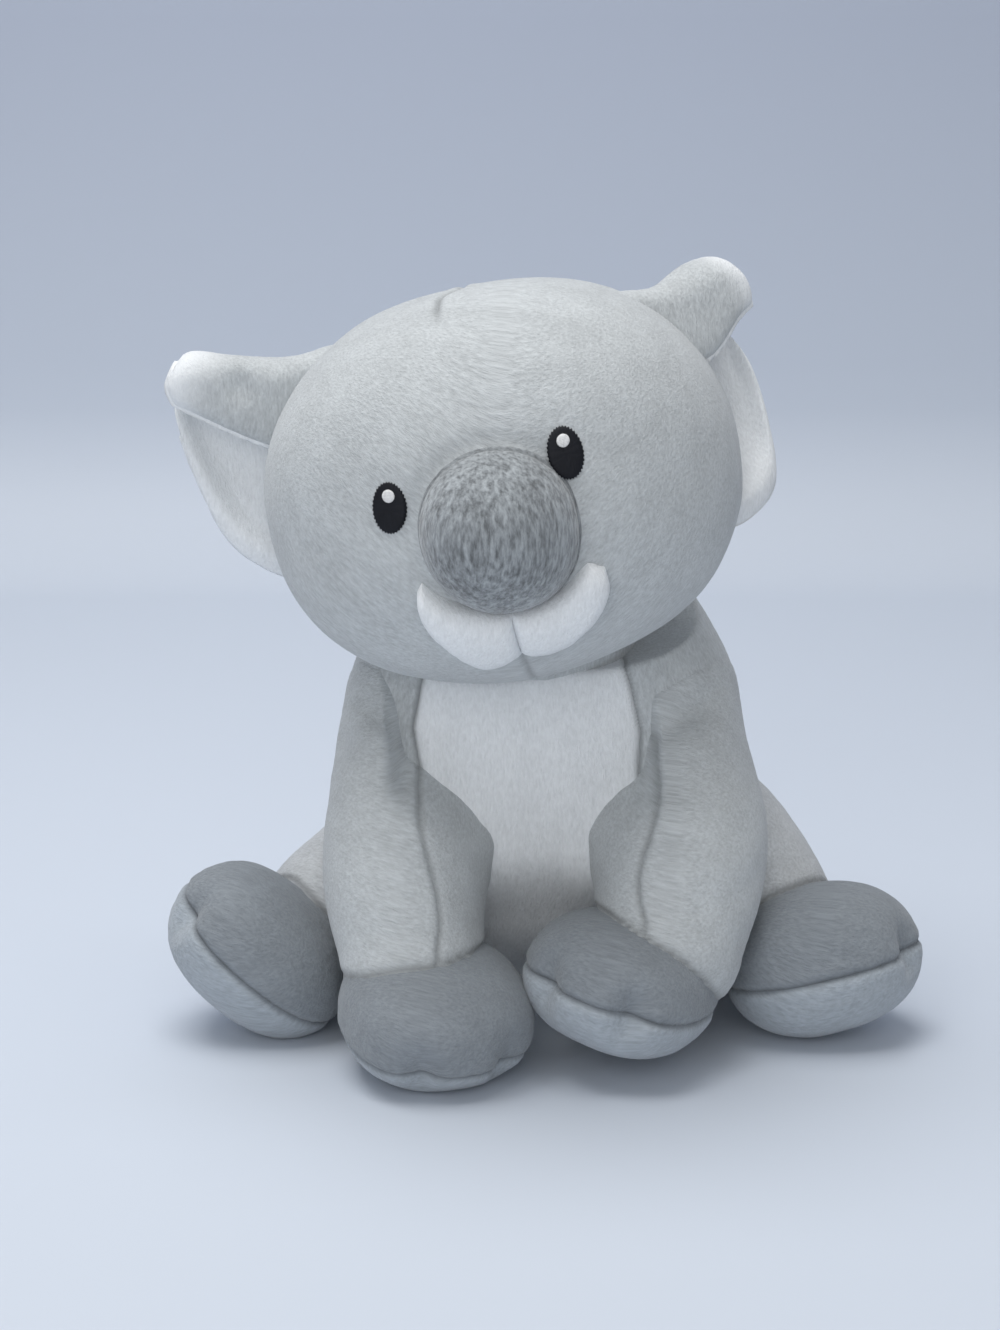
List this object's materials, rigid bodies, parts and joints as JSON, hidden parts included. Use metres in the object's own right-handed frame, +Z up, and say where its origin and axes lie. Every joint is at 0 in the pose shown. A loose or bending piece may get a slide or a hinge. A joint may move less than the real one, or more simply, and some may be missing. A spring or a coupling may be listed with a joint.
{
  "type": "plush koala",
  "caption": "Seated plush koala in pale and dark grey short-pile plush with a white belly, large folded ears, a round nose and soft jointed limbs.",
  "frame": {"origin": "on the floor under the front of the body's flat seat, on the line between its sides", "axes": "+X to the viewer's right when facing the toy, -Y the way it faces, +Z up"},
  "size_m": [0.2387, 0.1624, 0.2402],
  "materials": {
    "pale_grey_plush": "short brushed pile, soft sheen",
    "white_plush": "short brushed pile, soft sheen",
    "off_white_plush": "short brushed pile, soft sheen",
    "dark_grey_plush": "short brushed pile, soft sheen",
    "sole_plush": "short brushed pile, soft sheen",
    "nose_plush": "brushed pile, slightly longer and ruffled",
    "black_thread": "satin-stitched embroidery thread",
    "white_thread": "satin-stitched embroidery thread",
    "stuffing": "loose polyester fibre, hidden"
  },
  "bodies": {
    "torso": {"belly_panel": "white_plush", "side_panel_left": "pale_grey_plush", "side_panel_right": "pale_grey_plush", "body_filling": "stuffing"},
    "neck": {"neck_filling": "stuffing"},
    "head": {"face_panel": "pale_grey_plush", "back_head_panel_left": "pale_grey_plush", "back_head_panel_right": "pale_grey_plush", "head_filling": "stuffing", "nose_panel": "nose_plush", "nose_filling": "stuffing", "chin_patch_left": "white_plush", "chin_patch_right": "white_plush", "eye_left": "black_thread", "eye_right": "black_thread", "eye_highlight_left": "white_thread", "eye_highlight_right": "white_thread"},
    "ear_left": {"ear_outer_left": "pale_grey_plush", "ear_inner_left": "white_plush"},
    "arm_left": {"arm_outer_panel_left": "pale_grey_plush", "arm_inner_panel_left": "pale_grey_plush", "arm_filling_left": "stuffing"},
    "paw_left": {"paw_top_left": "dark_grey_plush", "paw_sole_left": "sole_plush", "paw_filling_left": "stuffing"},
    "leg_left": {"leg_upper_panel_left": "off_white_plush", "leg_under_panel_left": "off_white_plush", "leg_filling_left": "stuffing"},
    "foot_left": {"foot_top_left": "dark_grey_plush", "foot_sole_left": "sole_plush", "foot_filling_left": "stuffing"},
    "ear_right": {"ear_outer_right": "pale_grey_plush", "ear_inner_right": "white_plush"},
    "arm_right": {"arm_outer_panel_right": "pale_grey_plush", "arm_inner_panel_right": "pale_grey_plush", "arm_filling_right": "stuffing"},
    "paw_right": {"paw_top_right": "dark_grey_plush", "paw_sole_right": "sole_plush", "paw_filling_right": "stuffing"},
    "leg_right": {"leg_upper_panel_right": "off_white_plush", "leg_under_panel_right": "off_white_plush", "leg_filling_right": "stuffing"},
    "foot_right": {"foot_top_right": "dark_grey_plush", "foot_sole_right": "sole_plush", "foot_filling_right": "stuffing"}
  },
  "joints": [
    {"name": "neck_turn", "type": "hinge", "parent": "torso", "child": "neck", "pos_m": [0, 0.008, 0.125], "axis": [0, 0, 1], "range_deg": [-10, 10], "stiffness_Nm_per_rad": 0.4},
    {"name": "neck_tilt", "type": "hinge", "parent": "neck", "child": "head", "pos_m": [0, 0.008, 0.125], "axis": [0, 1, 0], "range_deg": [0, 15], "stiffness_Nm_per_rad": 0.4},
    {"name": "ear_flop_left", "type": "hinge", "parent": "head", "child": "ear_left", "pos_m": [-0.07351, -0.00994, 0.18499], "axis": [0.2312, -0.0299, 0.9724], "range_deg": [-12, 12], "stiffness_Nm_per_rad": 0.02},
    {"name": "shoulder_left", "type": "hinge", "parent": "torso", "child": "arm_left", "pos_m": [-0.0455, -0.003, 0.088], "axis": [-1, 0, 0], "range_deg": [0, 40], "stiffness_Nm_per_rad": 0.05},
    {"name": "wrist_left", "type": "hinge", "parent": "arm_left", "child": "paw_left", "pos_m": [-0.0405, -0.05, 0.03], "axis": [1, 0, 0], "range_deg": [-15, 15], "stiffness_Nm_per_rad": 0.05},
    {"name": "hip_left", "type": "hinge", "parent": "torso", "child": "leg_left", "pos_m": [-0.0505, 0.02, 0.0275], "axis": [0, 0, -1], "range_deg": [0, 25], "stiffness_Nm_per_rad": 0.1},
    {"name": "ankle_left", "type": "hinge", "parent": "leg_left", "child": "foot_left", "pos_m": [-0.08, -0.008, 0.027], "axis": [0.6884, -0.7253, 0], "range_deg": [-12, 12], "stiffness_Nm_per_rad": 0.05},
    {"name": "ear_flop_right", "type": "hinge", "parent": "head", "child": "ear_right", "pos_m": [0.04315, -0.0181, 0.19752], "axis": [-0.6067, 0.0299, 0.7943], "range_deg": [-12, 12], "stiffness_Nm_per_rad": 0.02},
    {"name": "shoulder_right", "type": "hinge", "parent": "torso", "child": "arm_right", "pos_m": [0.0455, -0.003, 0.088], "axis": [-1, 0, 0], "range_deg": [0, 40], "stiffness_Nm_per_rad": 0.05},
    {"name": "wrist_right", "type": "hinge", "parent": "arm_right", "child": "paw_right", "pos_m": [0.038, -0.048, 0.0365], "axis": [1, 0, 0], "range_deg": [-15, 15], "stiffness_Nm_per_rad": 0.05},
    {"name": "hip_right", "type": "hinge", "parent": "torso", "child": "leg_right", "pos_m": [0.052, 0.02, 0.033], "axis": [0, 0, 1], "range_deg": [0, 25], "stiffness_Nm_per_rad": 0.1},
    {"name": "ankle_right", "type": "hinge", "parent": "leg_right", "child": "foot_right", "pos_m": [0.082, -0.008, 0.027], "axis": [0.6823, 0.7311, 0], "range_deg": [-12, 12], "stiffness_Nm_per_rad": 0.05}
  ]
}
